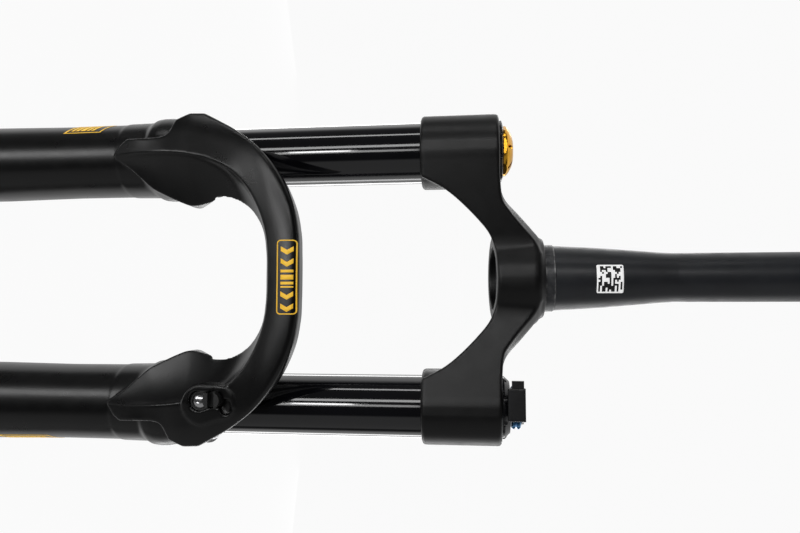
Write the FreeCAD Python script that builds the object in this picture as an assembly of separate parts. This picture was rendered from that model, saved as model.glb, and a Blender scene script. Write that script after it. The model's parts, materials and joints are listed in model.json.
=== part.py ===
import FreeCAD, Part
import math
import os

# Bicycle suspension fork, millimetres.
# +Z runs up the steerer, -Y is the front of the fork, +X is the rider's left.
# The origin is the centre of the crown race seat's shoulder.

V = FreeCAD.Vector
UP = V(0, 0, 1)
LEFT = V(1, 0, 0)
BACK = V(0, 1, 0)

# Driving dimensions
travel = 120.0
bumped_length = 421.0  # axle to crown seat with the travel used up
leg_x = 75.0
leg_y = -10.7
axle_y = -44.0
axle_z = -(bumped_length + travel)
hub_width = 110.0
axle_r = 7.5
running_gap = 0.05

# Steerer
steerer_top = 200.0
steerer_r = 14.3
steerer_bore_r = 12.5
steerer_taper_end = 74.4
race_seat_r = 19.9
race_seat_height = 5.4
steerer_root_r = 19.6
steerer_bottom = -27.0

# Crown
barrel_bottom = -71.0
barrel_top = -25.5
barrel_r = 21.8
boss_r = 26.0

# Inner legs
stanchion_r = 18.0
stanchion_bore_r = 16.4
stanchion_top = -27.5
stanchion_end = -405.0

# Lower casting
collar_top = -199.5
collar_r = 25.8
casting_bore_r = 19.0
bushing_seat_r = 19.6
wiper_seat_r = 22.5
foot_floor_top = -533.0
foot_bottom = -548.0
washer_low = foot_bottom + 1.5
washer_top = foot_bottom + 3.0
arch_front = -50.0
arch_rear = -34.0

# Brake posts
post_spacing = 74.2
post_centre_z = -470.0
post_x = 60.0
post_face_y = 27.0
post_hole_r = 2.5

# Pinch bolt and hose guide
pinch_x = -(hub_width / 2 + 14)
pinch_y = axle_y - 12.2
guide_bolt_x = 68.5
guide_bolt_z = -191.3
guide_face = -45.6
guide_plate_r = 5.5
guide_plate_top = guide_face - 2
guide_tower_x = 67.6
guide_tower_r = 4.6
hose_z = -182.6
hose_r = 2.6

# Damper and air spring
cartridge_r = 13.5
cartridge_bore_r = 12.7
inner_tube_r = 10.5
inner_tube_bore_r = 9.7
rod_r = 5.0
lsc_sleeve_r = 3.2
hsc_shaft_r = 1.5
needle_r = 2.4

os.makedirs("parts", exist_ok=True)


def save(name, shape):
    """Write one node after checking that its solids are sound."""
    if not shape.isValid() or not shape.Solids:
        raise RuntimeError("bad shape: " + name)
    print(name, "solids", len(shape.Solids), "volume", round(shape.Volume, 1))
    shape.exportStep("parts/" + name + ".step")


def cylinder(x, y, low, high, radius):
    return Part.makeCylinder(radius, high - low, V(x, y, low))


def ring(x, y, low, high, outer, inner):
    return cylinder(x, y, low, high, outer).cut(cylinder(x, y, low - 1, high + 1, inner))


def x_cylinder(low, high, y, z, radius):
    return Part.makeCylinder(radius, high - low, V(low, y, z), LEFT)


def y_cylinder(x, low, high, z, radius):
    return Part.makeCylinder(radius, high - low, V(x, low, z), BACK)


def box(x, y, z):
    """A box from three (low, high) pairs."""
    corner = V(x[0], y[0], z[0])
    return Part.makeBox(x[1] - x[0], y[1] - y[0], z[1] - z[0], corner)


def lathe(x, y, profile):
    """Turn a closed (radius, height) outline about the vertical line at x, y."""
    points = [V(x + r, y, z) for r, z in profile]
    face = Part.Face(Part.makePolygon(points + [points[0]]))
    return face.revolve(V(x, y, 0), UP, 360)


def hexagon(x, y, low, high, across):
    """A hexagonal prism, its size given across the flats."""
    radius = across / math.sqrt(3)
    points = []
    for corner in range(7):
        angle = math.radians(60 * corner)
        points.append(V(x + radius * math.cos(angle), y + radius * math.sin(angle), low))
    return Part.Face(Part.makePolygon(points)).extrude(V(0, 0, high - low))


def spline(points):
    curve = Part.BSplineCurve()
    curve.interpolate(points)
    return curve.toShape()


def fuse_all(shapes):
    return shapes[0].multiFuse(shapes[1:])


def flip(shape):
    """The same shape on the other side of the fork's centre plane."""
    return shape.mirror(V(0, 0, 0), LEFT)


def both_sides(half_points):
    """Points of a symmetric outline, from its +X half that starts on the centre line."""
    mirrored = [(-x, z) for x, z in half_points[1:]]
    return mirrored[::-1] + half_points


# ---------------------------------------------------------------- steerer and crown

def make_steerer():
    outside = [
        (0, steerer_bottom),
        (steerer_root_r, steerer_bottom),
        (steerer_root_r, 0),
        (race_seat_r, 0),
        (race_seat_r, race_seat_height),
        (race_seat_r - 0.7, race_seat_height + 0.6),
        (race_seat_r - 1.2, 16),
        (17.6, 34),
        (15.9, 54),
        (14.7, 68),
        (steerer_r, steerer_taper_end),
        (steerer_r, steerer_top - 0.6),
        (steerer_r - 0.6, steerer_top),
        (0, steerer_top),
    ]
    inside = [
        (0, steerer_bottom - 1),
        (16.7, steerer_bottom - 1),
        (16.7, 5),
        (15.4, 30),
        (13.4, 56),
        (steerer_bore_r, steerer_taper_end),
        (steerer_bore_r, steerer_top + 1),
        (0, steerer_top + 1),
    ]
    return lathe(0, 0, outside).cut(lathe(0, 0, inside))


def crown_barrel(side):
    profile = [
        (0, barrel_bottom),
        (barrel_r - 2.6, barrel_bottom),
        (barrel_r - 0.9, barrel_bottom + 0.7),
        (barrel_r, barrel_bottom + 2.4),
        (barrel_r, barrel_top - 3.4),
        (barrel_r - 0.9, barrel_top - 1.2),
        (barrel_r - 2.4, barrel_top),
        (0, barrel_top),
    ]
    return lathe(side * leg_x, leg_y, profile)


def crown_side_wire(y, top_drop):
    """Outline of one crown arm seen from the front, its upper edge lowered by top_drop."""
    upper = [(0, -2), (19, -2.4), (28.6, -7.4), (36.7, -14.5), (44.2, -21.2), (51, -24.6), (60, -25.6)]
    lower = [(60, -66), (52, -57), (42.9, -48.1), (33.7, -39.4), (24.5, -32.4), (14, -28.2), (0, -26.4)]
    top_edge = spline([V(x, y, z - top_drop) for x, z in upper])
    low_edge = spline([V(x, y, z) for x, z in lower])
    outer_edge = Part.makeLine(V(60, y, -25.6 - top_drop), V(60, y, -66))
    inner_edge = Part.makeLine(V(0, y, -26.4), V(0, y, -2 - top_drop))
    return Part.Wire([top_edge, outer_edge, low_edge, inner_edge])


def crown_plan():
    """The crown arm seen from above, as a tall block."""
    front = [(0, -26), (22, -27), (45, -29.5), (62, -31.6)]
    rear = [(62, 8.6), (50, 8), (36, 11), (22, 17.5), (10, 23), (0, 25)]
    front_edge = spline([V(x, y, -90) for x, y in front])
    rear_edge = spline([V(x, y, -90) for x, y in rear])
    outer_edge = Part.makeLine(V(62, -31.6, -90), V(62, 8.6, -90))
    inner_edge = Part.makeLine(V(0, 25, -90), V(0, -26, -90))
    face = Part.Face(Part.Wire([front_edge, outer_edge, rear_edge, inner_edge]))
    return face.extrude(V(0, 0, 120))


def crown_arm():
    """One +X arm: a forged bridge with a sloping upper front face."""
    slope = Part.makeLoft([crown_side_wire(-36, 9.0), crown_side_wire(-9, 0)], True, True)
    body = Part.Face(crown_side_wire(-9, 0)).extrude(V(0, 40, 0))
    arm = slope.fuse(body).common(crown_plan())
    pocket_outline = [(29.5, -24), (48, -35.5), (52, -40), (52, -75), (29.5, -75)]
    pocket_points = [V(x, -20, z) for x, z in pocket_outline]
    pocket = Part.Face(Part.makePolygon(pocket_points + [pocket_points[0]])).extrude(V(0, 22, 0))
    return arm.cut(pocket)


def make_crown():
    boss = lathe(0, 0, [
        (0, -31.5),
        (boss_r - 3.2, -31.5),
        (boss_r - 1.2, -30.8),
        (boss_r, -29),
        (boss_r + 1.4, -6.5),
        (boss_r + 0.6, -4.2),
        (boss_r - 1.8, -2.6),
        (boss_r - 2.4, -0.6),
        (boss_r - 3, 0),
        (0, 0),
    ])
    arm = crown_arm()
    crown = fuse_all([boss, arm, flip(arm), crown_barrel(1), crown_barrel(-1)])
    crown = crown.cut(cylinder(0, 0, -40, 10, steerer_root_r))
    for side in (-1, 1):
        crown = crown.cut(cylinder(side * leg_x, leg_y, barrel_bottom - 5, barrel_top + 5, stanchion_r))
    return crown


# ---------------------------------------------------------------- lower casting

def leg_shell(side):
    """One lower leg without its bore."""
    return lathe(side * leg_x, leg_y, [
        (0, collar_top),
        (collar_r - 1.4, collar_top),
        (collar_r - 0.3, collar_top - 0.7),
        (collar_r, collar_top - 2),
        (collar_r, -230),
        (collar_r - 0.9, -236),
        (23.0, -246),
        (22.8, -290),
        (23.6, -340),
        (23.4, -400),
        (22.2, -470),
        (21.0, -520),
        (19.0, -538),
        (15.5, foot_bottom + 1.5),
        (14.0, foot_bottom),
        (0, foot_bottom),
    ])


def arch_wire(y, outer_inset, inner_points):
    """Closed outline of the arch at one depth."""
    outer_half = [
        (0, -135.7), (24.7, -136.2), (40.3, -139.6), (57.4, -147.6), (73.1, -160.2),
        (84.3, -174.6), (91.6, -187), (95.0, -197), (94.6, -207),
    ]
    centre_z = -215
    outer = []
    for x, z in both_sides(outer_half):
        reach = math.hypot(x, z - centre_z)
        scale = 1 - outer_inset / reach
        outer.append(V(x * scale, y, centre_z + (z - centre_z) * scale))
    inner = [V(x, y, z) for x, z in both_sides(inner_points)]
    inner.reverse()
    right_end = Part.makeLine(outer[-1], inner[0])
    left_end = Part.makeLine(inner[-1], outer[0])
    return Part.Wire([spline(outer), right_end, spline(inner), left_end])


def make_arch():
    """The front bridge: its inner wall slants from a front ridge to a tighter rear edge."""
    front_ridge = [
        (0, -153.4), (20, -154.4), (29.6, -156.6), (39.4, -160.4), (49.8, -166.4),
        (59.3, -175.4), (65.4, -187.2), (68.5, -200), (69.3, -210),
    ]
    middle_edge = [
        (0, -156.4), (16, -156.8), (26, -158.6), (35, -163), (43, -169.6),
        (49.5, -177.5), (53.4, -188), (55, -200), (55, -210),
    ]
    rear_edge = [
        (0, -159.2), (12, -159.3), (24.5, -160.8), (32.7, -164.4), (39.4, -169.8),
        (44.4, -177.6), (46.8, -187), (46, -199), (45.4, -210),
    ]
    middle_y = (arch_front + arch_rear) / 2
    front = Part.makeLoft([arch_wire(arch_front, 4.2, front_ridge), arch_wire(middle_y, 0, middle_edge)],
                          True, True)
    rear = Part.makeLoft([arch_wire(middle_y, 0, middle_edge), arch_wire(arch_rear, 1.4, rear_edge)],
                         True, True)
    return front.fuse(rear)


def loft_sections(sections):
    """A faceted solid through outlines given as (height, [(x, y), ...])."""
    wires = []
    for z, outline in sections:
        points = [V(x, y, z) for x, y in outline]
        wires.append(Part.makePolygon(points + [points[0]]))
    return Part.makeLoft(wires, True, True)


def arch_foot():
    """Where the arch lands on the +X leg, ending in a ledge on the outer side."""
    return loft_sections([
        (-203, [(69, -49.6), (91, -49), (95.8, -42), (97, -25), (52, -22), (45.2, -34)]),
        (-212, [(70.2, -48.4), (90, -47.4), (95.3, -38), (97, -20), (52, -17), (46.4, -32)]),
        (-221, [(71, -46), (86, -45), (92, -34), (95, -16), (53, -15), (50, -28)]),
    ])


def arch_ribbon():
    """The narrow band that runs on down the front of the +X leg to a point."""
    return loft_sections([
        (-205, [(69.4, -49.4), (85.5, -48.8), (87, -25), (62, -25)]),
        (-221, [(71, -46), (84.2, -45), (86, -25), (62, -25)]),
        (-241, [(72.5, -38.8), (83.6, -37.8), (85, -25), (64, -25)]),
        (-255, [(73.4, -33.6), (79, -33.2), (82, -25), (68, -25)]),
    ])


def dropout():
    """The +X dropout: a forward web from the leg to the axle boss."""
    inner_x = hub_width / 2
    web = Part.makeLoft([
        Part.makePolygon([
            V(x, leg_y + 19, -486), V(x, leg_y - 19, -486), V(x, axle_y - 14, axle_z + 16),
            V(x, axle_y - 16.5, axle_z), V(x, axle_y - 12, axle_z - 12), V(x, axle_y, axle_z - 16.5),
            V(x, leg_y - 4, foot_bottom + 1), V(x, leg_y + 12, foot_bottom + 8),
            V(x, leg_y + 19, -486)])
        for x in (inner_x + 1.5, inner_x + 23)
    ], True, True)
    boss = x_cylinder(inner_x, inner_x + 26, axle_y, axle_z, 17)
    return web.fuse(boss)


def leg_cavity(side):
    """Everything bored out of one leg from above."""
    x = side * leg_x
    return lathe(x, leg_y, [
        (0, collar_top + 10),
        (wiper_seat_r, collar_top + 10),
        (wiper_seat_r, -206),
        (21.5, -206),
        (21.5, -214.5),
        (bushing_seat_r, -214.5),
        (bushing_seat_r, -236),
        (casting_bore_r, -236),
        (casting_bore_r, -325),
        (bushing_seat_r, -325),
        (bushing_seat_r, -345),
        (18.7, -345),
        (18.7, foot_floor_top + 3),
        (16, foot_floor_top),
        (0, foot_floor_top),
    ])


def brake_posts():
    """Two rear posts on the +X leg, joined by a rib."""
    low_z = post_centre_z - post_spacing / 2
    high_z = post_centre_z + post_spacing / 2
    rib = box((post_x - 4, post_x + 4), (0, 17), (low_z, high_z))
    web = box((post_x - 7.5, post_x + 7.5), (0, 9), (low_z - 10, high_z + 14))
    posts = [y_cylinder(post_x, 0, post_face_y, z, 8.2) for z in (low_z, high_z)]
    return fuse_all([rib, web] + posts)


def make_lower_legs():
    solids = [leg_shell(1), leg_shell(-1), make_arch()]
    for piece in (arch_foot(), arch_ribbon(), dropout()):
        solids.append(piece)
        solids.append(flip(piece))
    guide_boss = y_cylinder(76, -51.4, -40, -192, 17).common(box((60, 98.4), (-60, -20), (-212, -172)))
    solids.append(guide_boss)
    solids.append(brake_posts())
    body = fuse_all(solids)
    for side in (-1, 1):
        body = body.cut(leg_cavity(side))
    for side, hole_r in ((1, 5.2), (-1, 4.3)):
        body = body.cut(cylinder(side * leg_x, leg_y, foot_bottom - 20, foot_floor_top + 2, hole_r))
        body = body.cut(cylinder(side * leg_x, leg_y, foot_bottom - 20, washer_top, 11))
    body = body.cut(x_cylinder(-100, 53, axle_y, axle_z, axle_r + running_gap))
    body = body.cut(x_cylinder(53, 100, axle_y, axle_z, 10.5))
    pinch_slot = box((-90, -50), (axle_y - 30, axle_y), (axle_z - 1, axle_z + 1))
    body = body.cut(pinch_slot)
    body = body.cut(cylinder(pinch_x, pinch_y, axle_z - 30, axle_z + 30, 2.55))
    body = body.cut(cylinder(pinch_x, pinch_y, axle_z - 30, axle_z - 8.5, 4.8))
    for z in (post_centre_z - post_spacing / 2, post_centre_z + post_spacing / 2):
        body = body.cut(y_cylinder(post_x, post_face_y - 14, post_face_y + 1, z, post_hole_r))
    body = body.cut(guide_pocket())
    body = body.cut(y_cylinder(guide_bolt_x, guide_face - 4, guide_face + 6, guide_bolt_z, 1.65))
    return body


def guide_pocket():
    """Recess in the front of the +X arch foot that holds the hose guide."""
    gap = 0.4
    bolt_end = y_cylinder(guide_bolt_x, -60, guide_face, guide_bolt_z, guide_plate_r + gap)
    hose_end = y_cylinder(guide_tower_x, -60, guide_face, hose_z, guide_tower_r + gap)
    neck = box((guide_bolt_x - 4.2, guide_bolt_x + 3.6), (-60, guide_face), (guide_bolt_z, hose_z))
    return fuse_all([bolt_end, hose_end, neck])


def make_hose_guide():
    plate = y_cylinder(guide_bolt_x, guide_plate_top, guide_face, guide_bolt_z, guide_plate_r)
    tower = y_cylinder(guide_tower_x, guide_face - 8.6, guide_face, hose_z, guide_tower_r)
    sides = (guide_bolt_x - 3.8, guide_bolt_x + 3.2)
    bridge = box(sides, (guide_plate_top, guide_face), (guide_bolt_z, hose_z))
    body = fuse_all([plate, tower, bridge])
    channel = x_cylinder(55, 95, guide_face - 5.2, hose_z, hose_r)
    mouth = box((55, 95), (guide_face - 12, guide_face - 5.2), (hose_z - 1.8, hose_z + 1.8))
    body = body.cut(channel).cut(mouth)
    return body.cut(y_cylinder(guide_bolt_x, guide_face - 20, guide_face + 1, guide_bolt_z, 1.65))


def make_hose_guide_bolt():
    head_profile = Part.makeSphere(5.6, V(guide_bolt_x, guide_face + 1.1, guide_bolt_z))
    head = head_profile.common(y_cylinder(guide_bolt_x, guide_face - 5.4, guide_plate_top, guide_bolt_z, 4))
    shank = y_cylinder(guide_bolt_x, guide_plate_top, guide_face + 5, guide_bolt_z, 1.6)
    socket = hexagon(0, 0, 0, 2.2, 2.5)
    socket.rotate(V(0, 0, 0), LEFT, -90)
    socket.translate(V(guide_bolt_x, guide_face - 5.6, guide_bolt_z))
    return head.fuse(shank).cut(socket)


# ---------------------------------------------------------------- seals and bushings

def make_wiper(side):
    seat_low = -205.8
    return lathe(side * leg_x, leg_y, [
        (wiper_seat_r, seat_low),
        (wiper_seat_r, collar_top),
        (23.6, collar_top),
        (23.4, collar_top + 1.1),
        (20.9, collar_top + 1.5),
        (20.5, collar_top + 2.2),
        (18.9, collar_top + 3.0),
        (stanchion_r + running_gap, collar_top + 2.7),
        (stanchion_r + running_gap, collar_top + 1.4),
        (19.2, collar_top - 0.6),
        (19.4, -203.4),
        (stanchion_r + running_gap, -204.4),
        (stanchion_r + running_gap, -205.2),
        (19.6, seat_low),
    ])


def make_garter_spring(side):
    torus = Part.makeTorus(21.1, 0.55, V(side * leg_x, leg_y, collar_top + 2.1))
    return torus.cut(make_wiper(side))


# ---------------------------------------------------------------- top caps and adjusters

def make_top_cap(side, bore_r, shoulder_z):
    """Threaded cap that closes a stanchion, with a sloping shoulder and wrench notches."""
    x = side * leg_x
    cap = lathe(x, leg_y, [
        (bore_r, -52),
        (cartridge_bore_r - running_gap, -52),
        (cartridge_bore_r - running_gap, -46),
        (stanchion_bore_r - running_gap, -46),
        (stanchion_bore_r - running_gap, stanchion_top),
        (stanchion_r - running_gap, stanchion_top),
        (stanchion_r - running_gap, barrel_top),
        (18.2, barrel_top),
        (17.8, -24.0),
        (15.0, shoulder_z),
        (bore_r, shoulder_z),
    ])
    for notch in range(8):
        angle = math.radians(45 * notch + 22.5)
        notch_x = x + 18.2 * math.cos(angle)
        notch_y = leg_y + 18.2 * math.sin(angle)
        cap = cap.cut(cylinder(notch_x, notch_y, -24.8, -20, 1.7))
    return cap


def make_air_cap():
    """Domed cap with six flats, hollow over the valve."""
    x = -leg_x
    dome = lathe(x, leg_y, [
        (0, -22.9), (14.6, -22.9), (14.7, -22.0), (13.9, -20.9), (12.2, -19.6),
        (9.4, -18.2), (6.0, -17.3), (0, -17.0),
    ])
    cap = dome.common(hexagon(x, leg_y, -23, -10, 28.0))
    for slot in range(6):
        cut = box((8.2, 16), (-0.9, 0.9), (-20.4, -12))
        cut.rotate(V(0, 0, 0), UP, 60 * slot + 30)
        cut.translate(V(x, leg_y, 0))
        cap = cap.cut(cut)
    return cap.cut(cylinder(x, leg_y, -24, -19.0, 6.4))


def make_air_valve_body():
    x = -leg_x
    return lathe(x, leg_y, [
        (1.3, -58), (3.9, -58), (3.9, -23), (5.6, -23), (5.6, -22), (3.9, -22),
        (3.9, -19.5), (3.5, -19.2), (2.6, -19.2), (2.6, -30), (1.3, -31),
    ])


def make_valve_pin():
    x = -leg_x
    return cylinder(x, leg_y, -56, -19.6, 0.8).fuse(cylinder(x, leg_y, -28.3, -26.8, 2.2))


# The lever is a thin hood over the dial, with a paddle that hangs down in front of the cap.
hood_low = -14.4
hood_high = -13.1
paddle_x = (61.8, 79.7)
paddle_y = (-32.2, -28.6)
paddle_low = -22.7


def make_lsc_knob():
    """Scalloped dial in two tiers under the lever's hood."""
    x = leg_x
    bore = lsc_sleeve_r
    dial = lathe(x, leg_y, [
        (bore, -20.2), (11.2, -20.2), (12.2, -19.4), (12.2, -18.4), (11.2, -17.8), (11.2, -17.4),
        (12.3, -16.8), (12.3, -15.6), (11.3, -14.8), (bore, -14.8),
    ])
    for notch in range(12):
        angle = math.radians(30 * notch)
        notch_x = x + 13.3 * math.cos(angle)
        notch_y = leg_y + 13.3 * math.sin(angle)
        dial = dial.cut(cylinder(notch_x, notch_y, -21, -14, 1.9))
    return dial


def make_hsc_lever():
    hood = cylinder(leg_x, leg_y, hood_low, hood_high, 9.5)
    outline = [
        (leg_x - 9.3, leg_y), (paddle_x[0], paddle_y[1]), (paddle_x[0], paddle_y[0] + 0.4),
        (paddle_x[1], paddle_y[0] + 0.4), (paddle_x[1], paddle_y[1]), (leg_x + 9.3, leg_y),
        (leg_x - 9.3, leg_y)]
    face = Part.Face(Part.makePolygon([V(x, y, hood_low) for x, y in outline]))
    arm = face.extrude(V(0, 0, hood_high - hood_low))
    paddle = box(paddle_x, paddle_y, (paddle_low, hood_high))
    paddle = paddle.makeFillet(0.8, paddle.Edges)
    tab = box((paddle_x[0] - 4, paddle_x[0] + 1), (paddle_y[0] + 0.7, paddle_y[1]), (-20.4, hood_high - 0.8))
    return fuse_all([hood, arm, paddle, tab])


# ---------------------------------------------------------------- damper internals

floating_piston_low = -98.0
floating_piston_high = -88.0
floating_spring_top = -52.2
valve_high = -122.0
valve_low = -136.0
damper_piston_low = -272.0
seal_head_high = -278.0


def make_floating_spring():
    """Square-wire coil spring above the floating piston."""
    coils = 6.0
    mean_r = 8.6
    half_wire = 0.8
    low = floating_piston_high + half_wire + running_gap
    high = floating_spring_top - half_wire - running_gap
    path = Part.makeHelix((high - low) / coils, high - low, mean_r)
    path.translate(V(leg_x, leg_y, low))
    corners = []
    for across, along in ((-1, -1), (1, -1), (1, 1), (-1, 1), (-1, -1)):
        corners.append(V(leg_x + mean_r + across * half_wire, leg_y, low + along * half_wire))
    return Part.Wire(path).makePipeShell([Part.makePolygon(corners)], True, True)


def make_damper():
    x = leg_x
    y = leg_y
    save("damper_outer_tube", ring(x, y, -300, -46, cartridge_r, cartridge_bore_r))
    save("damper_inner_tube", ring(x, y, seal_head_high, valve_low, inner_tube_r, inner_tube_bore_r))
    valve = ring(x, y, valve_low, valve_high, cartridge_bore_r, lsc_sleeve_r + running_gap)
    for port in range(6):
        angle = math.radians(60 * port)
        port_x = x + 7.4 * math.cos(angle)
        port_y = y + 7.4 * math.sin(angle)
        valve = valve.cut(cylinder(port_x, port_y, valve_low - 1, valve_high + 1, 1.5))
    save("compression_valve", valve)
    save("damper_floating_piston", ring(x, y, floating_piston_low, floating_piston_high, 12.62,
                                       lsc_sleeve_r + running_gap))
    save("floating_piston_spring", make_floating_spring())
    seal_head = lathe(x, y, [
        (rod_r + running_gap, -306), (stanchion_bore_r - running_gap, -306),
        (stanchion_bore_r - running_gap, -300), (cartridge_bore_r, -300),
        (cartridge_bore_r, seal_head_high), (rod_r + running_gap, seal_head_high),
    ])
    save("damper_seal_head", seal_head)
    rod = ring(x, y, -556, damper_piston_low - 6, rod_r, needle_r + 0.06)
    save("damper_rod", rod)
    piston = ring(x, y, damper_piston_low, damper_piston_low + 10, inner_tube_bore_r - running_gap, 3.4)
    for port in range(4):
        angle = math.radians(90 * port + 45)
        port_x = x + 6.3 * math.cos(angle)
        port_y = y + 6.3 * math.sin(angle)
        piston = piston.cut(cylinder(port_x, port_y, -273, -260, 1.2))
    save("damper_piston", piston)
    post = cylinder(x, y, damper_piston_low, damper_piston_low + 14, 3.4)
    flange = cylinder(x, y, damper_piston_low + 10, damper_piston_low + 14, 5.4)
    holder = cylinder(x, y, damper_piston_low - 6, damper_piston_low, rod_r)
    bolt = fuse_all([post, flange, holder]).cut(cylinder(x, y, -290, -262, needle_r + 0.06))
    save("piston_bolt", bolt)
    save("lsc_sleeve", ring(x, y, -126, -14.8, lsc_sleeve_r, hsc_shaft_r + 0.06))
    save("hsc_shaft", cylinder(x, y, -130, hood_low, hsc_shaft_r))
    save("rebound_needle", cylinder(x, y, -557.9, -266, needle_r))


# ---------------------------------------------------------------- air spring internals

air_piston_low = -378.0
air_head_high = -390.0


def make_air_spring():
    x = -leg_x
    y = leg_y
    head = lathe(x, y, [
        (rod_r + running_gap, -402), (stanchion_bore_r - running_gap, -402),
        (stanchion_bore_r - running_gap, air_head_high), (rod_r + running_gap, air_head_high),
    ])
    save("air_seal_head", head)
    circlip = ring(x, y, -403.4, -402, 16.35, 13.6).cut(box((x - 2.5, x + 2.5), (y, y + 20), (-404, -401)))
    save("seal_head_circlip", circlip)
    save("top_out_bumper", ring(x, y, air_head_high, air_piston_low, 9.0, rod_r + running_gap))
    piston = lathe(x, y, [
        (rod_r, air_piston_low), (16.3, air_piston_low), (16.3, -374.5), (13.9, -374.5),
        (13.9, -370.5), (16.3, -370.5), (16.3, -366), (rod_r, -366),
    ])
    save("air_piston", piston)
    save("air_piston_seal", ring(x, y, -374.5, -370.5, 16.34, 13.9))
    shaft = cylinder(x, y, foot_floor_top, -366, rod_r)
    shaft = shaft.cut(cylinder(x, y, foot_floor_top - 1, -500, 4.05))
    save("air_shaft", shaft)
    save("bottom_out_bumper", ring(x, y, foot_floor_top, foot_floor_top + 7, 9.5, rod_r))


# ---------------------------------------------------------------- feet and axle

def make_feet():
    x = leg_x
    y = leg_y
    for name, side, bore in (("left", 1, 5.05), ("right", -1, 4.1)):
        save("crush_washer_" + name, ring(side * x, y, washer_low, washer_top, 9.5, bore))
    nut = hexagon(x, y, washer_low - 4.5, washer_low, 15).cut(cylinder(x, y, -570, -520, rod_r))
    save("foot_nut_left", nut)
    bolt = cylinder(-x, y, washer_low - 4.5, washer_low, 7.5).fuse(cylinder(-x, y, washer_low, -510, 4.0))
    bolt = bolt.cut(hexagon(-x, y, washer_low - 5, washer_low - 1.2, 5))
    save("foot_bolt_right", bolt)
    knob = lathe(x, y, [
        (needle_r, -564.0), (7.2, -564.0), (8.6, -563.2), (8.6, -557.4), (7.8, -556.6), (needle_r, -556.6),
    ])
    for notch in range(18):
        angle = math.radians(20 * notch)
        knob = knob.cut(cylinder(x + 9.2 * math.cos(angle), y + 9.2 * math.sin(angle), -565, -556, 1.1))
    knob = knob.cut(cylinder(x, y, -557.9, -556, needle_r))
    cover = cylinder(x, y, -564.0, -557.9, needle_r)
    save("rebound_knob", knob.fuse(cover))


def make_axle():
    """Through axle, put in from the -X side, with a hex socket in its head."""
    thread_end = 80.0
    head_low = -(hub_width / 2 + 30)
    shaft = x_cylinder(-(hub_width / 2 + 26), thread_end - 2, axle_y, axle_z, axle_r)
    tip = Part.makeCone(axle_r, axle_r - 1.6, 2, V(thread_end - 2, axle_y, axle_z), LEFT)
    head = x_cylinder(head_low, -(hub_width / 2 + 26), axle_y, axle_z, 10.2)
    axle = fuse_all([shaft, tip, head])
    bore = x_cylinder(head_low + 14, thread_end + 1, axle_y, axle_z, 4.8)
    socket = hexagon(0, 0, 0, 10, 6)
    socket.rotate(V(0, 0, 0), BACK, 90)
    socket.translate(V(head_low - 1, axle_y, axle_z))
    save("axle", axle.cut(bore).cut(socket))
    insert = x_cylinder(hub_width / 2, hub_width / 2 + 25, axle_y, axle_z, 10.5)
    insert = insert.cut(x_cylinder(50, 100, axle_y, axle_z, axle_r + running_gap))
    save("axle_insert", insert)
    pinch = cylinder(pinch_x, pinch_y, axle_z - 8.5, axle_z + 14, 2.5)
    pinch = pinch.fuse(cylinder(pinch_x, pinch_y, axle_z - 13, axle_z - 8.5, 4.3))
    pinch = pinch.cut(hexagon(pinch_x, pinch_y, axle_z - 14, axle_z - 10.4, 4))
    save("pinch_bolt", pinch)


def main():
    save("steerer_tube", make_steerer())
    save("crown", make_crown())
    save("lower_legs", make_lower_legs())
    for name, side in (("left", 1), ("right", -1)):
        x = side * leg_x
        save("stanchion_" + name,
             ring(x, leg_y, stanchion_end, stanchion_top, stanchion_r, stanchion_bore_r))
        save("dust_wiper_" + name, make_wiper(side))
        save("garter_spring_" + name, make_garter_spring(side))
        save("foam_ring_" + name, ring(x, leg_y, -214, -207, 21.4, stanchion_r + running_gap))
        save("upper_bushing_" + name,
             ring(x, leg_y, -236, -216, bushing_seat_r, stanchion_r + running_gap))
        save("lower_bushing_" + name,
             ring(x, leg_y, -345, -325, bushing_seat_r, stanchion_r + running_gap))
    save("air_top_cap", make_top_cap(-1, 3.9, -23.0))
    save("damper_top_cap", make_top_cap(1, lsc_sleeve_r + running_gap, -21.0))
    save("air_cap", make_air_cap())
    save("air_valve_body", make_air_valve_body())
    save("valve_pin", make_valve_pin())
    save("lsc_knob", make_lsc_knob())
    save("hsc_lever", make_hsc_lever())
    save("hose_guide", make_hose_guide())
    save("hose_guide_bolt", make_hose_guide_bolt())
    make_damper()
    make_air_spring()
    make_feet()
    make_axle()


main()
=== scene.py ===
import json
import math
import random

import bmesh
import bpy
import numpy as np
import openvdb
from mathutils import Matrix, Vector
from mathutils.bvhtree import BVHTree


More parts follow.
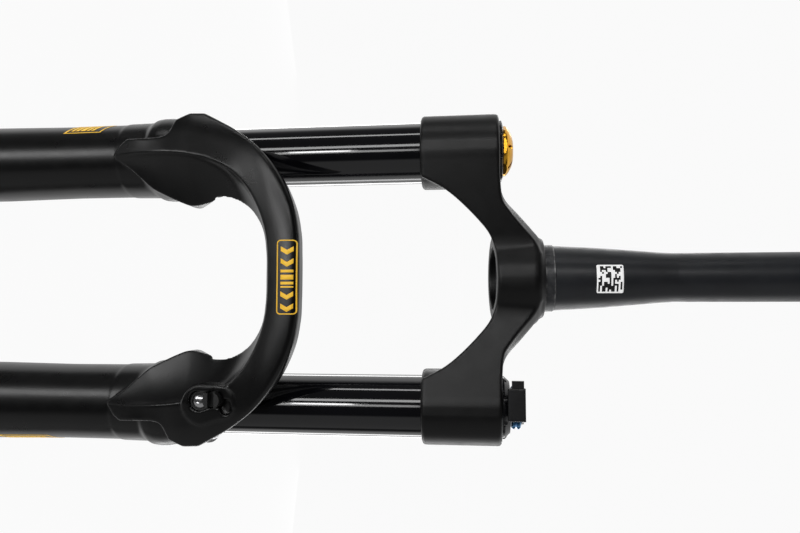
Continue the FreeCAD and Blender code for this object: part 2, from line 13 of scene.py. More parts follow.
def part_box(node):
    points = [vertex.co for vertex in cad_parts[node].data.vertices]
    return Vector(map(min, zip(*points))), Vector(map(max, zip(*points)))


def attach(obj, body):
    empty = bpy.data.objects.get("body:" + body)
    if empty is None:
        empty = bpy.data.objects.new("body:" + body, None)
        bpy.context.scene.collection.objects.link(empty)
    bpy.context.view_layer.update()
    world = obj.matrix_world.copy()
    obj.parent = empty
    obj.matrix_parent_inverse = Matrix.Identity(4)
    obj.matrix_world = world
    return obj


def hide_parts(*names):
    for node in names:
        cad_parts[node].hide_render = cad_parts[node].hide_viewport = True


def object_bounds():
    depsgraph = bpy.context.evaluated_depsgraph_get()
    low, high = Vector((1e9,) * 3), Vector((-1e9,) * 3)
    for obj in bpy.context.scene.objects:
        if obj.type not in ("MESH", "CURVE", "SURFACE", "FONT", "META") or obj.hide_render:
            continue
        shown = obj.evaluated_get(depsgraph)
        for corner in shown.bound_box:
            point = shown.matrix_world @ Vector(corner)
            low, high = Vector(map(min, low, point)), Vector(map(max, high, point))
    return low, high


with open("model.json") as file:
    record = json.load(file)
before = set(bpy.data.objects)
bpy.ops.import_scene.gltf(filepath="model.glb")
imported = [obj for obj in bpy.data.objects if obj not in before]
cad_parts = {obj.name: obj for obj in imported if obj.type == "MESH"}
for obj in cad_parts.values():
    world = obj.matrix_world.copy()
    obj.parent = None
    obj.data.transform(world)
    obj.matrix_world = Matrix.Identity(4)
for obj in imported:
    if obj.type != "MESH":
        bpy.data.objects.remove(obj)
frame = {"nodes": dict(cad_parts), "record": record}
cad_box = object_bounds()

MM = 0.001


def mm_box(node):
    """A CAD node's box in millimetres, as two numpy arrays."""
    low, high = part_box(node)
    return np.array(low) / MM, np.array(high) / MM


# ---------------------------------------------------------------- sizes from the frame, in millimetres

stanchion_low, stanchion_high = mm_box("stanchion_left")
leg_x, leg_y = (stanchion_low[0] + stanchion_high[0]) / 2, (stanchion_low[1] + stanchion_high[1]) / 2
stanchion_r = (stanchion_high[0] - stanchion_low[0]) / 2
legs_low, legs_high = mm_box("lower_legs")
crown_low, crown_high = mm_box("crown")
axle_low, axle_high = mm_box("axle")
axle_y, axle_z = (axle_low[1] + axle_high[1]) / 2, (axle_low[2] + axle_high[2]) / 2
collar_top = mm_box("dust_wiper_left")[1][2] - 3.0
guide_top_y = mm_box("hose_guide")[1][1]
guide_bolt_low, guide_bolt_high = mm_box("hose_guide_bolt")
bolt_x = (guide_bolt_low[0] + guide_bolt_high[0]) / 2
bolt_z = (guide_bolt_low[2] + guide_bolt_high[2]) / 2
steerer_root_r = 19.6
foot_bottom = -548.0
hub_half = 55.0
brake_post_heights = (-507.1, -432.9)
brake_post_x = 60


# ---------------------------------------------------------------- distance fields

def soft_min(a, b, k):
    """Union of two distances with a blend about k wide."""
    h = np.clip(0.5 + 0.5 * (b - a) / k, 0, 1)
    return b + (a - b) * h - k * h * (1 - h)


def soft_max(a, b, k):
    return -soft_min(-a, -b, k)


def round_max(a, b, r):
    """Intersection of two distances with an edge rounded to radius r."""
    ar, br = a + r, b + r
    outside = np.sqrt(np.maximum(ar, 0) ** 2 + np.maximum(br, 0) ** 2)
    return np.minimum(np.maximum(ar, br), 0) + outside - r


def blend_step(value, low, high):
    """Smooth 0 to 1 as value goes from low to high."""
    t = np.clip((value - low) / (high - low), 0, 1)
    return t * t * (3 - 2 * t)


def curve_through(points, per_span=8):
    """A smooth open curve through control points (Catmull-Rom)."""
    p = np.array(points, float)
    p = np.vstack([2 * p[0] - p[1], p, 2 * p[-1] - p[-2]])
    out = []
    for i in range(1, len(p) - 2):
        for t in np.arange(per_span) / per_span:
            a, b, c, d = p[i - 1], p[i], p[i + 1], p[i + 2]
            out.append(0.5 * (2 * b + (c - a) * t + (2 * a - 5 * b + 4 * c - d) * t * t
                              + (3 * b - a - 3 * c + d) * t ** 3))
    out.append(p[-2])
    return [tuple(q) for q in out]


def outline_distance(points, u, v):
    """Signed distance from the grid u by v to a closed outline, negative inside."""
    pu, pv = u[:, None], v[None, :]
    best = np.full((u.size, v.size), 1e9)
    inside = np.zeros((u.size, v.size), bool)
    for (au, av), (bu, bv) in zip(points, points[1:] + points[:1]):
        du, dv = bu - au, bv - av
        if abs(du) + abs(dv) < 1e-9:
            continue
        t = np.clip(((pu - au) * du + (pv - av) * dv) / (du * du + dv * dv), 0, 1)
        best = np.minimum(best, (pu - au - t * du) ** 2 + (pv - av - t * dv) ** 2)
        if dv:
            crosses = (av > pv) != (bv > pv)
            inside ^= crosses & (pu < au + (pv - av) / dv * du)
    return np.where(inside, -1.0, 1.0) * np.sqrt(best)


def box_distance(x, y, z, centre, half, r):
    """Rounded box, edges rounded to r."""
    qx = np.abs(x - centre[0]) - half[0] + r
    qy = np.abs(y - centre[1]) - half[1] + r
    qz = np.abs(z - centre[2]) - half[2] + r
    outside = np.sqrt(np.maximum(qx, 0) ** 2 + np.maximum(qy, 0) ** 2 + np.maximum(qz, 0) ** 2)
    return outside + np.minimum(np.maximum(qx, np.maximum(qy, qz)), 0) - r


def inside_box(field, xs, ys, zs, low, high, margin=0.1):
    """Trims a field to a box, a little inside it."""
    for axis, values in enumerate((xs, ys, zs)):
        shape = [1, 1, 1]
        shape[axis] = values.size
        past = np.maximum(low[axis] + margin - values, values - high[axis] + margin)
        field = np.maximum(field, past.reshape(shape))
    return field


def surface_mesh(name, field, xs, ys, zs):
    """A mesh on the field's zero surface. xs, ys and zs may be unevenly spaced."""
    limit = 3.0
    grid = openvdb.FloatGrid(background=limit)
    grid.copyFromArray(np.clip(field, -limit, limit).astype(np.float32))
    points, quads = grid.convertToQuads(0.0)
    places = np.empty_like(points, dtype=float)
    for axis, values in enumerate((xs, ys, zs)):
        places[:, axis] = np.interp(points[:, axis], np.arange(values.size), values) * MM
    mesh = bpy.data.meshes.new(name)
    mesh.from_pydata(places.tolist(), [], quads[:, ::-1].tolist())
    mesh.validate()
    mesh.update()
    mesh.shade_smooth()
    obj = bpy.data.objects.new(name, mesh)
    bpy.context.scene.collection.objects.link(obj)
    return obj


def relax(obj, factor, rounds):
    """Light smoothing that removes the grid's stepping."""
    mod = obj.modifiers.new("relax", "SMOOTH")
    mod.factor = factor
    mod.iterations = rounds
    apply_modifiers(obj)


def apply_modifiers(obj):
    depsgraph = bpy.context.evaluated_depsgraph_get()
    mesh = bpy.data.meshes.new_from_object(obj.evaluated_get(depsgraph))
    obj.modifiers.clear()
    obj.data = mesh


# ---------------------------------------------------------------- lower casting

# Half outlines of the arch in the X, Z plane, from the centre line to the leg
arch_outer = [
    (0, -135.5), (13, -135.6), (25, -136.2), (40.3, -139.4), (57.4, -147.4), (73.1, -160.2),
    (84.3, -174.6), (90.6, -186),
]
foot_outer = [(95.0, -194.6), (95.3, -203.6), (91.4, -211.8)]
ledge = [(87.8, -213.2), (84.2, -214.8), (81.9, -217.4), (81.0, -222)]
ribbon_outer = [(81.4, -232), (82.2, -244), (79.2, -249), (72.6, -254)]
arch_ridge = [
    (0, -153.4), (10, -153.6), (20, -154.4), (29.6, -156.6), (39.4, -160.4), (49.8, -166.4),
    (59.3, -175.4), (65.4, -187.2), (68.9, -200), (70.8, -212), (71.8, -226), (72.5, -240), (72.6, -254),
]
arch_rear_edge = [
    (0, -159.2), (12, -159.3), (24.5, -160.8), (32.7, -164.2), (39.4, -169.6), (44.0, -177.4),
    (45.6, -186), (43.6, -195), (42.2, -201), (42.4, -206), (44.8, -212.5), (48.2, -220), (52.6, -228.6),
    (58.2, -235.5), (64.6, -243), (72.6, -254),
]
arch_front_y = -50.0
arch_rear_y = -34.0
channel_wall = 5.0


def closed_half(top_curve, bottom_curve):
    """Closes a half outline across the centre line, well past it."""
    return [(-40, top_curve[0][1])] + top_curve + bottom_curve[::-1] + [(-40, bottom_curve[0][1])]


def smooth_interp(z, heights, values, spread=4.0):
    """Straight-line interpolation with its corners rounded over a few millimetres."""
    offsets = np.linspace(-spread, spread, 9)
    return sum(np.interp(z + offset, heights, values) for offset in offsets) / offsets.size


def leg_radius(z):
    """Outer radius of a leg at each height."""
    knots = [
        (foot_bottom - 4, 13.0), (foot_bottom + 2, 15.4), (-538, 19.0), (-520, 21.0), (-470, 22.2),
        (-400, 23.3), (-340, 23.4), (-290, 22.5), (-254, 22.6), (-252.6, 23.1), (-236, 23.4),
        (-232.4, 25.3), (-228, 25.8), (-224, 25.6), (-214, 24.0), (-206, 23.6), (-190, 23.5),
    ]
    heights = np.array([k[0] for k in knots])
    radii = np.array([k[1] for k in knots])
    spread = np.arange(-4, 5) * 0.4
    weights = np.exp(-(spread / 0.9) ** 2)
    total = sum(w * np.interp(z + s, heights, radii) for s, w in zip(spread, weights))
    return total / weights.sum()


def casting_grid():
    step = 0.75
    xs = np.arange(-103, 103.01, step)
    ys = np.arange(legs_low[1] - 3, legs_high[1] + 3, step)
    zs = np.concatenate([
        np.arange(legs_low[2] - 3, -492, step * 1.15),
        np.arange(-492, -264, step * 3.5),
        np.arange(-264, legs_high[2] + 3, step),
    ])
    return xs, ys, zs


def casting_field(xs, ys, zs):
    x, y, z = xs[:, None, None], ys[None, :, None], zs[None, None, :]
    ax = np.abs(xs)

    # The two legs
    reach = np.hypot(ax[:, None] - leg_x, ys[None, :] - leg_y)[:, :, None]
    leg = reach - leg_radius(zs)[None, None, :]
    leg = round_max(leg, z - collar_top, 1.6)
    leg = round_max(leg, foot_bottom - z, 2.0)

    # The arch, in front of the legs: front face, outer edge and slanting inner wall
    outer_edge = curve_through(arch_outer) + foot_outer + curve_through(ledge, 3) + ribbon_outer
    beyond = [(0, -100), (140, -100), (140, -270)]
    outer = outline_distance(closed_half(outer_edge, [(0, -275), (60, -275)]), ax, zs)[:, None, :]
    outer = outer + 0.12 * np.clip(y - arch_front_y, 0, 16) * blend_step(zs, -200, -160)[None, None, :]
    above_ridge = outline_distance(closed_half(beyond, curve_through(arch_ridge)), ax, zs)[:, None, :]
    above_rear = outline_distance(closed_half(beyond, curve_through(arch_rear_edge)), ax, zs)[:, None, :]

    front = smooth_interp(zs, [-254, -241, -221, -205, -190], [-34.8, -39.2, -45.8, -49.0, arch_front_y])
    front = front[None, None, :]
    from_ridge = np.clip(-above_ridge, 0, 40)
    at_foot = (blend_step(zs, -152, -182) * blend_step(zs, -238, -212))[None, None, :]
    crest = 0.0115 * from_ridge * (from_ridge - 18) * blend_step(zs, -215, -200)[None, None, :]
    fall = 0.21 * from_ridge + 0.012 * np.clip(from_ridge - 13, 0, 14) ** 2
    face = front + at_foot * fall + (1 - at_foot) * crest
    depth = np.clip((y - front) / (arch_rear_y - front), 0, 1)
    scoop = depth ** 1.5
    wall = above_ridge * (1 - scoop) + above_rear * scoop
    rear_y = np.interp(zs, [-216, -203, -190], [-17, -23, arch_rear_y])[None, None, :]
    arch = round_max(face - y, wall, 1.1)
    edge_round = np.interp(zs, [-217, -205, -165, -147], [0.7, 1.2, 1.6, 4.0])[None, None, :]
    arch = round_max(arch, outer, edge_round)
    arch = round_max(arch, y - rear_y, 1.4)

    # A channel along the arch's rear face
    channel = round_max(round_max(outer + channel_wall, wall + channel_wall, 2.0), -186 - z, 3.0)
    channel = round_max(channel, arch_front_y + 8.5 - y, 2.5)
    arch = soft_max(arch, -channel, 1.0)

    inner_side = blend_step(ax, 64, 54)[:, None, None]
    body = soft_min(leg, arch, 0.7 + 4.5 * inner_side)

    # Low round pad for the hose guide on the rider's left
    along = np.clip((z + 190) / 9, 0, 1)
    pad = np.hypot(x - 71.0 + 1.5 * along, z + 190 - 9 * along) - 11.4 + 1.5 * along
    pad = round_max(pad + 0 * y, face - 0.8 - y, 0.7)
    pad = np.maximum(pad, y + 36)
    return soft_min(body, pad, 0.8)


def casting():
    xs, ys, zs = casting_grid()
    field = casting_field(xs, ys, zs)
    field = add_dropouts(field, xs, ys, zs)
    field = cut_casting(field, xs, ys, zs)
    obj = surface_mesh("casting", field, xs, ys, zs)
    relax(obj, 0.5, 2)
    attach(obj, "lowers")
    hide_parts("lower_legs")
    return obj


def add_dropouts(field, xs, ys, zs):
    """Axle bosses, their webs and the rear brake posts."""
    x, y, z = xs[:, None, None], ys[None, :, None], zs[None, None, :]
    ax = np.abs(x)
    boss_r = axle_z - legs_low[2]
    outline = curve_through([
        (leg_y + 14, -500), (leg_y - 6, -486), (leg_y - 20, -492), (axle_y + 2, -512), (axle_y - 12, -527),
        (axle_y - boss_r, axle_z), (axle_y - 12, axle_z - 12), (axle_y, axle_z - boss_r),
        (axle_y + 14, axle_z - 12), (leg_y - 6, foot_bottom + 1), (leg_y + 8, foot_bottom + 3),
        (leg_y + 14, -520), (leg_y + 14, -500)], 4)
    web2d = outline_distance(outline[:-1], ys, zs)[None, :, :]
    slab = np.abs(ax - (hub_half + 12.5)) - 10.5
    web = round_max(web2d, slab, 3.0)
    boss = round_max(np.hypot(y - axle_y, z - axle_z) - boss_r, np.abs(ax - (hub_half + 13)) - 13, 1.4)
    part = soft_min(web, boss, 3.0)
    field = soft_min(field, part, 6.0)
    posts_rear = legs_high[1]
    for post_z in brake_post_heights:
        post = np.hypot(x - brake_post_x, z - post_z) - (8.2 + 0.06 * (posts_rear - y))
        post = round_max(post, y - posts_rear, 0.8)
        post = np.maximum(post, -4 - y)
        field = soft_min(field, post, 5.0)
    rib = box_distance(x, y, z, (brake_post_x, 6, -470), (3.6, 10.0, 37), 2.0)
    return soft_min(field, rib, 4.0)


def cut_casting(field, xs, ys, zs):
    """Bores, axle holes, pockets and slots."""
    x, y, z = xs[:, None, None], ys[None, :, None], zs[None, None, :]
    ax = np.abs(x)
    reach = np.hypot(ax - leg_x, y - leg_y)
    bore_r = np.interp(zs, [-533.1, -533, -236, -235.9, -206, -205.9], [0, 18.7, 18.7, 19.6, 19.6, 22.5])
    bore = np.maximum(reach - bore_r[None, None, :], -533 - z)
    field = np.maximum(field, -bore)
    foot = np.maximum(reach - 10.5, z - (foot_bottom + 3))
    field = np.maximum(field, -foot)
    axle_reach = np.hypot(y - axle_y, z - axle_z)
    hole = axle_reach - np.where(x > 0, 10.4, 7.6)
    field = np.maximum(field, -np.maximum(hole, hub_half - 2 - ax))
    slot = np.maximum(np.abs(z - axle_z) - 1.0, np.maximum(y - axle_y, x + hub_half - 4))
    field = np.maximum(field, -slot)
    head = np.hypot(x + hub_half + 14, y - (axle_y - 12.2)) - 4.9
    field = np.maximum(field, -np.maximum(head, z - (axle_z - 8.5)))
    for post_z in brake_post_heights:
        hole = np.maximum(np.hypot(x - brake_post_x, z - post_z) - 2.5, legs_high[1] - 14 - y)
        field = np.maximum(field, -hole)
    # Pocket for the hose guide
    hose_x, hose_z = bolt_x - 0.9, bolt_z + 8.7
    bolt_end = np.hypot(x - bolt_x, z - bolt_z) - 5.7
    hose_end = np.hypot(x - hose_x, z - hose_z) - 4.9
    pocket = soft_min(bolt_end, hose_end, 4.0)
    pocket = np.maximum(pocket, y - guide_top_y)
    # The hose runs off the guide in a shallow trough
    trough = np.hypot((x - hose_x - 4.2) * 0.75, z - hose_z - 6.2) - 3.4
    pocket = np.minimum(pocket, round_max(trough, y + 46.0, 1.0))
    return inside_box(np.maximum(field, -pocket), xs, ys, zs, legs_low, legs_high)


# ---------------------------------------------------------------- crown

crown_upper = [(0, -2), (19, -2.4), (24, -4.2), (28.6, -7.6), (36.7, -14.5), (44.2, -21.2),
               (49, -23.8), (54, -24.9), (62, -25.4), (76, -25.5)]
crown_front_upper = [(0, -2.2), (12, -2.2), (15, -3.6), (29, -14.2), (41, -22.6), (46, -24.4), (54, -25.2),
                     (62, -25.5), (76, -25.5)]
crown_lower = [(0, -26.4), (9, -27), (16, -28.4), (24.5, -32.2), (33.7, -39.4), (42.9, -48.1),
               (49.3, -55.4), (53.2, -61.4), (56.2, -67), (60, -72), (76, -76)]
crown_front_plan = [(0, -26.3), (6, -25.6), (11, -24.0), (16, -22.7), (22, -22.8), (30, -24.3), (45, -27.2),
                    (60, -30.1), (70.3, -32.0), (73, -32.0), (76, -31)]
crown_rear_plan = [(0, 25.4), (10, 23.4), (22, 17.5), (36, 11), (50, 8), (62, 8.6), (76, 10)]
barrel_r = 21.8


def crown_field(xs, ys, zs):
    x, y, z = xs[:, None, None], ys[None, :, None], zs[None, None, :]
    ax = np.abs(xs)
    barrel_top = crown_high[2] - 25.5
    barrel_low = crown_low[2]
    reach = np.hypot(ax[:, None] - leg_x, ys[None, :] - leg_y)[:, :, None]
    barrel = round_max(round_max(reach - barrel_r, z - barrel_top, 2.2), barrel_low - z, 2.2)

    high_side = [(0, 60), (76, 60)]
    low_side = [(0, -120), (76, -120)]
    below_top = outline_distance(closed_half(curve_through(crown_upper), low_side), ax, zs)[:, None, :]
    below_front = outline_distance(closed_half(curve_through(crown_front_upper), low_side), ax, zs)
    below_front = below_front[:, None, :]
    above_low = outline_distance(closed_half(high_side, curve_through(crown_lower)), ax, zs)[:, None, :]
    front, rear = curve_through(crown_front_plan, 6), curve_through(crown_rear_plan, 6)
    plan = outline_distance([(-40, 25.4)] + rear + front[::-1] + [(-40, -26.4)], ax, ys)[:, :, None]

    back_from_front = blend_step(y, -27, -12)
    top = below_front * (1 - back_from_front) + below_top * back_from_front
    arm = round_max(top, plan, 1.6)
    under_slope = 0.17 * (y + 26) * blend_step(ax, 16, 30)[:, None, None]
    arm = round_max(arm, above_low + under_slope, 1.0)
    arm = round_max(arm, barrel_low - z, 2.2)
    arm = np.maximum(arm, (ax - leg_x)[:, None, None])

    boss_r = np.interp(zs, [-32, -29, -6.5, -4.2, -2.6, -0.6, 0.5], [25.6, 26, 27.4, 26.6, 24.4, 23.6, 23])
    under_boss = -29.4 - 0.09 * y
    boss = round_max(np.hypot(x, y) - boss_r[None, None, :], under_boss - z, 1.2)
    boss = round_max(boss, z, 0.8)

    # Lightening pockets, open below
    pocket = np.maximum(plan + 8.5, top + 7.0)
    pocket = round_max(pocket, 30.5 - ax[:, None, None], 3.0)
    pocket = round_max(pocket, (ax - 50.5)[:, None, None], 3.0)
    pocket = round_max(pocket, -14.0 - y, 3.0)
    arm = soft_max(arm, -pocket, 1.0)

    body = soft_min(arm, barrel, 0.6)
    body = soft_min(body, boss, 2.4)
    bores = np.minimum(reach - stanchion_r, np.hypot(x, y) - steerer_root_r)
    return inside_box(np.maximum(body, -bores), xs, ys, zs, crown_low, crown_high)


def crown():
    step = 0.6
    xs = np.arange(crown_low[0] - 3, crown_high[0] + 3, step)
    ys = np.arange(crown_low[1] - 3, crown_high[1] + 3, step)
    zs = np.arange(crown_low[2] - 3, crown_high[2] + 3, step)
    obj = surface_mesh("forged_crown", crown_field(xs, ys, zs), xs, ys, zs)
    relax(obj, 0.5, 2)
    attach(obj, "chassis")
    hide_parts("crown")
    return obj


# ---------------------------------------------------------------- printed marks

def rounded_rectangle(u0, u1, v0, v1, r, slant=0.0):
    """Outline of a rectangle with round corners. slant shifts its top edge along u."""
    points = []
    corners = ((u1 - r, v1 - r, 0), (u0 + r, v1 - r, 90), (u0 + r, v0 + r, 180), (u1 - r, v0 + r, 270))
    for cu, cv, start in corners:
        for turn in range(0, 91, 15):
            angle = math.radians(start + turn)
            u, v = cu + r * math.cos(angle), cv + r * math.sin(angle)
            points.append((u + slant * (v - v0) / (v1 - v0), v))
    return points


def flat_mark(shapes, step):
    """Fills shapes in the U, V plane and cuts them into small faces. A shape is an outline and its holes."""
    bm = bmesh.new()
    for shape in shapes:
        edges = []
        for outline in shape:
            verts = [bm.verts.new((u, v, 0)) for u, v in outline]
            edges += [bm.edges.new(pair) for pair in zip(verts, verts[1:] + verts[:1])]
        bmesh.ops.triangle_fill(bm, use_beauty=True, use_dissolve=False, edges=edges)
    us = [vert.co.x for vert in bm.verts]
    vs = [vert.co.y for vert in bm.verts]
    for axis, low, high in ((0, min(us), max(us)), (1, min(vs), max(vs))):
        for place in np.arange(low + step, high, step):
            point, normal = [0, 0, 0], [0, 0, 0]
            point[axis], normal[axis] = place, 1
            everything = bm.verts[:] + bm.edges[:] + bm.faces[:]
            bmesh.ops.bisect_plane(bm, geom=everything, plane_co=point, plane_no=normal)
    return bm


def print_mark(name, shapes, target, start, toward, finish, body, step=1.2, lift=0.1):
    """Lays shapes onto a target surface. start and toward turn U, V into a ray, in millimetres."""
    tree = BVHTree.FromObject(target, bpy.context.evaluated_depsgraph_get())
    bm = flat_mark(shapes, step)
    for vert in bm.verts:
        u, v = vert.co.x, vert.co.y
        origin, direction = Vector(start(u, v)), Vector(toward(u, v)).normalized()
        hit, normal, _, _ = tree.ray_cast(origin * MM, direction)
        if hit is None:
            raise ValueError("a printed mark misses its surface: " + name)
        vert.co = hit - direction * lift * MM
    mesh = bpy.data.meshes.new(name)
    bm.to_mesh(mesh)
    bm.free()
    mesh.shade_smooth()
    obj = bpy.data.objects.new(name, mesh)
    bpy.context.scene.collection.objects.link(obj)
    shell = obj.modifiers.new("thickness", "SOLIDIFY")
    shell.thickness = 0.09 * MM
    shell.offset = 0
    apply_modifiers(obj)
    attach(obj, body)
    paint(obj, finish)
    return obj


def ring(u0, u1, v0, v1, r, width, slant=0.0):
    """A rectangular frame line of the given width."""
    return [
        rounded_rectangle(u0, u1, v0, v1, r, slant),
        rounded_rectangle(u0 + width, u1 - width, v0 + width, v1 - width, max(r - width, 0.2), slant),
    ]


def bar(u0, u1, v0, v1, slant=0.0):
    return [(u0, v0), (u1, v0), (u1 + slant, v1), (u0 + slant, v1)]


def from_the_front(u, v):
    """Start of a ray in front of the fork, with U across and V up."""
    return u, -80, v


def straight_back(u, v):
    return 0, 1, 0


def arch_badge(target):
    """Gold frame and a plain row of chevrons and bars on the front of the arch."""
    shapes = [ring(-19.6, 21.2, -147.6, -136.6, 2.0, 0.6)]
    low, high = -145.4, -138.4
    middle = (low + high) / 2
    for left in (-16.0, -9.4, 8.6, 15.2):
        shapes.append([[(left, low), (left + 2.6, low), (left + 4.6, middle), (left + 2.6, high),
                        (left, high), (left + 2.0, middle)]])
    for left, width in ((-3.2, 1.5), (-0.4, 2.6), (3.4, 1.5), (5.8, 0.8)):
        shapes.append([bar(left, left + width, low, high)])
    print_mark("arch_badge", shapes, target, from_the_front, straight_back, "gold_print", "lowers", step=2.0)


def leg_mark(target, side, z0, z1, angle0, angle1):
    """Slanted gold frame with bars on the outer side of a leg. Angles are degrees from the front."""
    def start(u, v):
        angle = math.radians(v)
        return side * (leg_x + 40 * math.sin(angle)), leg_y - 40 * math.cos(angle), u

    def toward(u, v):
        angle = math.radians(v)
        return -side * math.sin(angle), math.cos(angle), 0

    # One degree round the leg is about 0.4 mm, so V is in degrees and U in millimetres
    shapes = [[
        [(z0, angle0), (z1 - 5, angle0), (z1, angle1), (z0 + 5, angle1)],
        [(z0 + 1.5, angle0 + 1.5), (z1 - 5.6, angle0 + 1.5), (z1 - 1.2, angle1 - 1.5),
         (z0 + 6.0, angle1 - 1.5)],
    ]]
    place = z0 + 4.0
    while place < z1 - 9.0:
        wide = 1.9 if len(shapes) % 3 else 3.0
        shapes.append([bar(place, place + wide, angle0 + 6, angle1 - 6, 3.0)])
        place += wide + 1.1
    name = "leg_mark_left" if side > 0 else "leg_mark_right"
    print_mark(name, shapes, target, start, toward, "gold_print", "lowers")


def steerer_label(target):
    """A white label with a scatter of dark cells that spells nothing."""
    left, right, low, high = -6.7, 9.3, 28.5, 43.5
    margin = 0.8
    print_mark("label", [[rounded_rectangle(left, right, low, high, margin)]], target, from_the_front,
               straight_back, "label_white", "chassis", step=1.0)
    rng = random.Random(7)
    cells = 13
    width, height = (right - left - 2 * margin) / cells, (high - low - 2 * margin) / cells
    shapes = []
    for row in range(cells):
        column = 0
        while column < cells:
            run = rng.choice((1, 1, 2, 3))
            run = min(run, cells - column)
            if rng.random() < 0.5:
                u, v = left + margin + column * width, low + margin + row * height
                shapes.append([bar(u, u + run * width, v, v + height)])
            column += run
    print_mark("label_cells", shapes, target, from_the_front, straight_back, "label_black", "chassis",
               lift=0.16)


# ---------------------------------------------------------------- materials

class Graph:
    """A small helper for building a node material."""

    def __init__(self, name):
        self.material = bpy.data.materials.new(name)
        self.material.use_nodes = True
        self.tree = self.material.node_tree
        self.shader = self.tree.nodes["Principled BSDF"]
        self.place = self.add("ShaderNodeTexCoord").outputs["Object"]

    def add(self, kind, **inputs):
        node = self.tree.nodes.new(kind)
        for key, value in inputs.items():
            self.set(node.inputs[key], value)
        return node

    def set(self, socket, value):
        if isinstance(value, bpy.types.NodeSocket):
            self.tree.links.new(value, socket)
        else:
            socket.default_value = value

    def shade(self, **inputs):
        for key, value in inputs.items():
            self.set(self.shader.inputs[key.replace("_", " ")], value)

    def noise(self, scale, detail=3.0, stretch=None):
        where = self.place
        if stretch:
            mapping = self.add("ShaderNodeMapping", Vector=where)
            mapping.inputs["Scale"].default_value = stretch
            where = mapping.outputs[0]
        return self.add("ShaderNodeTexNoise", Vector=where, Scale=scale, Detail=detail).outputs["Fac"]

    def span(self, value, low, high, from_low=0.3, from_high=0.7):
        node = self.add("ShaderNodeMapRange", Value=value)
        node.inputs["From Min"].default_value = from_low
        node.inputs["From Max"].default_value = from_high
        node.inputs["To Min"].default_value = low
        node.inputs["To Max"].default_value = high
        return node.outputs[0]

    def mix(self, factor, a, b):
        node = self.tree.nodes.new("ShaderNodeMix")
        node.data_type = "RGBA"
        self.set(node.inputs[0], factor)
        self.set(node.inputs[6], a)
        self.set(node.inputs[7], b)
        return node.outputs[2]

    def math(self, kind, a, b=0.0):
        node = self.tree.nodes.new("ShaderNodeMath")
        node.operation = kind
        self.set(node.inputs[0], a)
        self.set(node.inputs[1], b)
        return node.outputs[0]

    def bump(self, height, strength, distance):
        node = self.add("ShaderNodeBump", Height=height, Strength=strength, Distance=distance)
        self.shade(Normal=node.outputs[0])
        return node


def rgba(r, g, b):
    return (r, g, b, 1.0)


def finish_material(name, dark, light, rough, metallic=0.0, coat=0.0, grain=900.0, grain_depth=0.00002,
                    patch=35.0, stretch=None, specular=0.5, painted_glow=0.0):
    """A finish with patchy tone, uneven gloss and a fine surface grain. An optional emission adds painted
    light, making bright prints glow though they are no lamp.
    """
    g = Graph(name)
    patches = g.noise(patch, 4.0)
    colour = g.mix(g.span(patches, 0, 1), rgba(*dark), rgba(*light))
    g.shade(Base_Color=colour, Roughness=g.span(g.noise(patch * 3), rough[0], rough[1]))
    g.shade(Metallic=metallic, Coat_Weight=coat, Specular_IOR_Level=specular)
    # Painted light: emission in the finish's own colour, so the print glows though it is no lamp
    if painted_glow:
        g.shade(Emission_Color=colour, Emission_Strength=painted_glow)
    g.bump(g.noise(grain, 2.0, stretch), 0.5, grain_depth)
    return g.material


def steerer_material():
    """Dark anodised tube, turned round its axis and scuffed to bare metal on the race seat's edges."""
    g = Graph("steerer_finish")
    height = g.add("ShaderNodeSeparateXYZ", Vector=g.place).outputs["Z"]
    patches = g.noise(40.0, 4.0)
    base = g.mix(g.span(patches, 0, 1), rgba(0.015, 0.016, 0.019), rgba(0.023, 0.025, 0.030))
    top_edge = g.math("ABSOLUTE", g.math("SUBTRACT", height, 5.3 * MM))
    low_edge = g.math("ABSOLUTE", g.math("SUBTRACT", height, 0.5 * MM))
    near_edge = g.math("MAXIMUM", g.span(top_edge, 1.0, 0.0, 0.15 * MM, 0.55 * MM),
                       g.span(low_edge, 0.7, 0.0, 0.1 * MM, 0.5 * MM))
    on_seat = g.span(height, 0.16, 0.0, 5.4 * MM, 5.6 * MM)
    scuffs = g.span(g.noise(260.0, 6.0), 0.15, 1, 0.40, 0.62)
    worn = g.math("MULTIPLY", g.math("MAXIMUM", near_edge, on_seat), scuffs)
    g.shade(Base_Color=g.mix(worn, base, rgba(0.30, 0.30, 0.30)), Metallic=g.math("MULTIPLY", worn, 0.6))
    g.shade(Roughness=g.span(g.noise(120.0), 0.34, 0.44))
    g.bump(g.noise(600.0, 2.0, (1, 1, 9)), 0.5, 0.00001)
    return g.material


